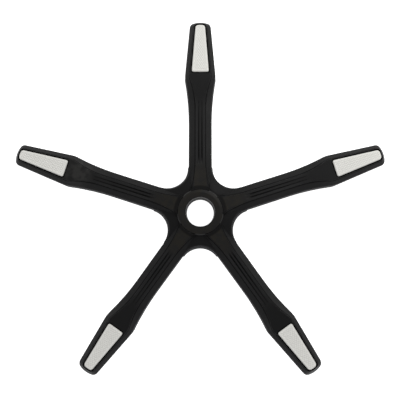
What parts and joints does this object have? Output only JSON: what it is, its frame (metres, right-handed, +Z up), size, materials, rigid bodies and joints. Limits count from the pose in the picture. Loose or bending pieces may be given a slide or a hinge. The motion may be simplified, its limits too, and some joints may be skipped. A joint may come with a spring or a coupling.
{
  "type": "office chair five star base",
  "caption": "Black moulded star base for a swivel chair: straight ribbed arms falling from a taper-socket hub, with light foot pads over the caster sockets.",
  "frame": {"origin": "on the hub's axis, in the plane of the caster seats", "axes": "+Z up along the hub's axis; +Y along one arm"},
  "size_m": [0.6576, 0.6278, 0.062],
  "materials": {
    "black_nylon": "satin moulded grain",
    "liner_steel": "turned",
    "pad_grey": "matt with a fine grip texture"
  },
  "bodies": {
    "root": {"star_base": "black_nylon", "hub_sleeve": "liner_steel", "foot_pad_1": "pad_grey", "foot_pad_2": "pad_grey", "foot_pad_3": "pad_grey", "foot_pad_4": "pad_grey", "foot_pad_5": "pad_grey"}
  },
  "joints": []
}
